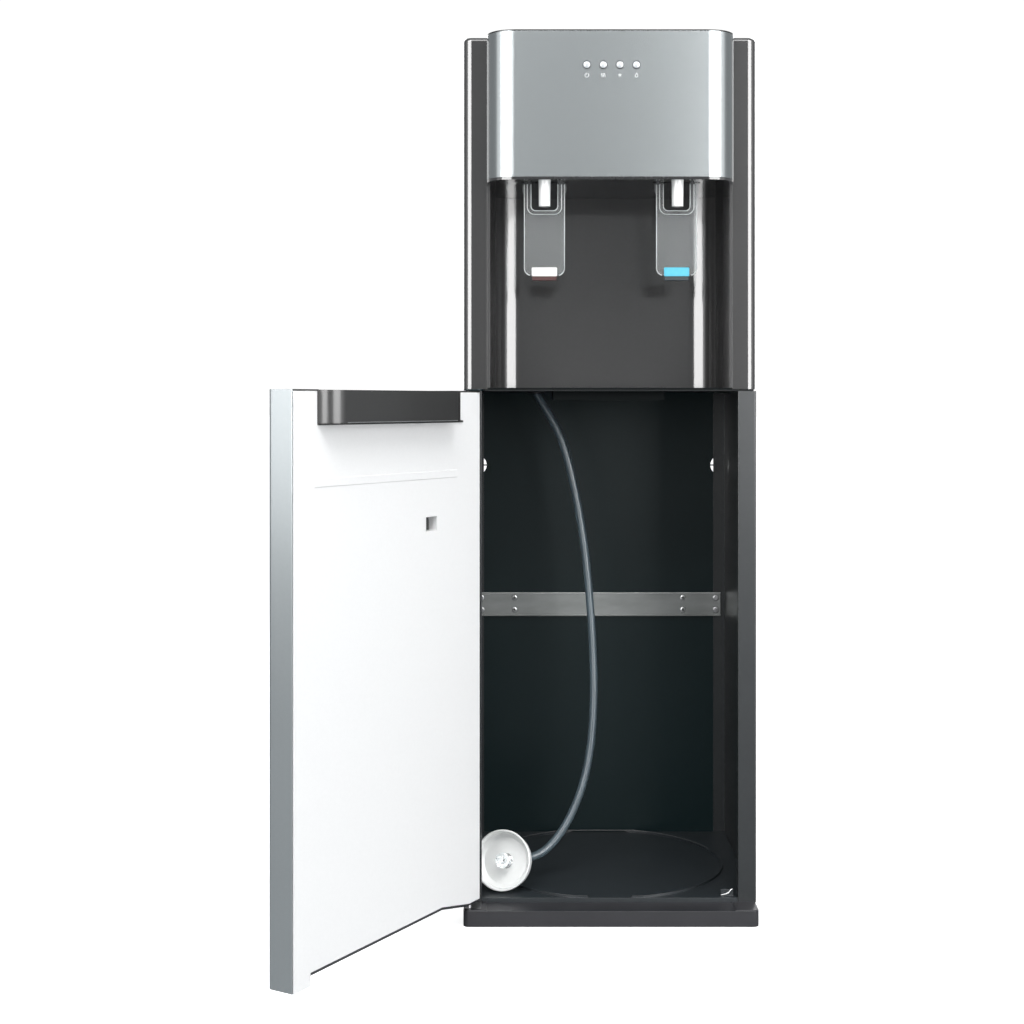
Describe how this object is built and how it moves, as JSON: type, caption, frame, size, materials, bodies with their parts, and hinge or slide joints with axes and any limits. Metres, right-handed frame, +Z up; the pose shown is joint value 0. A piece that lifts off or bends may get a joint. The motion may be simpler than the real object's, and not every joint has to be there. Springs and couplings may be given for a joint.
{
  "type": "bottom-loading water dispenser",
  "caption": "Floor-standing hot and cold water dispenser with its bottle cabinet door open, suction hose and bottle cap inside.",
  "frame": {"origin": "on the floor, at the centre of the base's footprint", "axes": "+X to the right for someone facing the taps, +Y to its back, +Z up; the taps face -Y"},
  "size_m": [0.4877, 0.576, 0.962],
  "materials": {
    "base_plastic": "fine-grained moulded plastic",
    "foot_rubber": "matt rubber",
    "cabinet_plastic": "satin moulded plastic",
    "cabinet_paint": "semi-gloss powder paint",
    "zinc_steel": "zinc-plated sheet",
    "screw_steel": "zinc-plated, dull",
    "gloss_black": "high-gloss moulding",
    "top_black": "satin moulding",
    "grille_steel": "satin stainless",
    "silver_fascia": "satin metallic lacquer",
    "silver_door": "satin metallic lacquer",
    "lens_clear": "clear dome",
    "board_green": "circuit board",
    "white_plastic": "white moulding",
    "clear_plastic": "clear acrylic",
    "probe_clear": "clear moulding",
    "label_red": "printed insert",
    "label_blue": "printed insert",
    "tank_steel": "stainless",
    "foam_white": "moulded foam",
    "compressor_black": "black enamel",
    "hose_silicone": "translucent silicone",
    "rocker_red": "moulded",
    "rocker_green": "moulded",
    "condenser_black": "black enamel",
    "liner_white": "white moulding",
    "pocket_black": "gloss moulding",
    "magnet_black": "magnetic strip"
  },
  "bodies": {
    "cabinet": {"base_plinth": "base_plastic", "rubber_feet": "foot_rubber", "floor_tray": "cabinet_plastic", "side_panel_right": "cabinet_paint", "side_panel_left": "cabinet_paint", "lower_back_panel": "cabinet_paint", "rear_crossbar": "zinc_steel", "crossbar_screws": "screw_steel", "lower_hinge_bracket": "screw_steel", "upper_hinge_bracket": "cabinet_paint", "deck_plate": "cabinet_paint", "upper_base": "gloss_black", "upper_shell_right": "gloss_black", "upper_shell_left": "gloss_black", "fascia": "silver_fascia", "top_cover": "top_black", "ceiling_panel": "gloss_black", "recess_liner": "gloss_black", "upper_back_cover": "cabinet_paint", "indicator_lenses": "lens_clear", "indicator_board": "board_green", "spouts": "white_plastic", "tap_bodies": "white_plastic", "lever_pins": "screw_steel", "lever_springs": "screw_steel", "tank_shelf": "zinc_steel", "hot_tank": "tank_steel", "cold_tank": "tank_steel", "cold_tank_foam": "foam_white", "compressor": "compressor_black", "compressor_mounts": "foot_rubber", "pump": "white_plastic", "control_box": "base_plastic", "water_tubes": "hose_silicone", "switch_bezel": "base_plastic", "cord_inlet_gland": "base_plastic", "drain_spout": "white_plastic", "condenser_tube": "condenser_black", "condenser_wires": "condenser_black", "condenser_brackets": "zinc_steel", "hose_gland": "base_plastic", "hose": "hose_silicone", "probe_cap": "white_plastic", "probe_tip": "probe_clear"},
    "door": {"door_skin": "silver_door", "door_liner": "liner_white", "door_handle_pocket": "pocket_black", "door_top_cap": "pocket_black", "door_bottom_cap": "base_plastic", "door_magnet": "magnet_black"},
    "hot_lever": {"hot_lever": "clear_plastic", "hot_lever_label": "label_red"},
    "cold_lever": {"cold_lever": "clear_plastic", "cold_lever_label": "label_blue"},
    "drip_tray": {"drip_tray": "gloss_black"},
    "drip_grille": {"drip_grille": "grille_steel"},
    "hot_switch": {"hot_switch_rocker": "rocker_red"},
    "cold_switch": {"cold_switch_rocker": "rocker_green"},
    "drain_cap": {"drain_cap": "base_plastic"}
  },
  "joints": [
    {"name": "door_hinge", "type": "hinge", "parent": "cabinet", "child": "door", "pos_m": [-0.1535, -0.1335, 0.3], "axis": [0, 0, 1], "range_deg": [0, 120.5]},
    {"name": "hot_lever_pivot", "type": "hinge", "parent": "cabinet", "child": "hot_lever", "pos_m": [-0.0716, -0.134, 0.808], "axis": [1, 0, 0], "range_deg": [0, 12], "stiffness_Nm_per_rad": 0.25, "springref_deg": -5.73},
    {"name": "cold_lever_pivot", "type": "hinge", "parent": "cabinet", "child": "cold_lever", "pos_m": [0.0716, -0.134, 0.808], "axis": [1, 0, 0], "range_deg": [0, 12], "stiffness_Nm_per_rad": 0.25, "springref_deg": -5.73},
    {"name": "drip_tray_lift", "type": "slide", "parent": "cabinet", "child": "drip_tray", "axis": [0, 0, 1], "range_m": [0, 0.04]},
    {"name": "drip_grille_lift", "type": "slide", "parent": "drip_tray", "child": "drip_grille", "axis": [0, 0, 1], "range_m": [0, 0.03]},
    {"name": "hot_switch_rock", "type": "hinge", "parent": "cabinet", "child": "hot_switch", "pos_m": [-0.093, 0.1462, 0.7], "axis": [1, 0, 0], "range_deg": [-14, 0]},
    {"name": "cold_switch_rock", "type": "hinge", "parent": "cabinet", "child": "cold_switch", "pos_m": [-0.067, 0.1462, 0.7], "axis": [1, 0, 0], "range_deg": [-14, 0]},
    {"name": "drain_cap_turn", "type": "hinge", "parent": "cabinet", "child": "drain_cap", "pos_m": [-0.02, 0.155, 0.602], "axis": [0, 1, 0], "range_deg": [0, 360]}
  ]
}
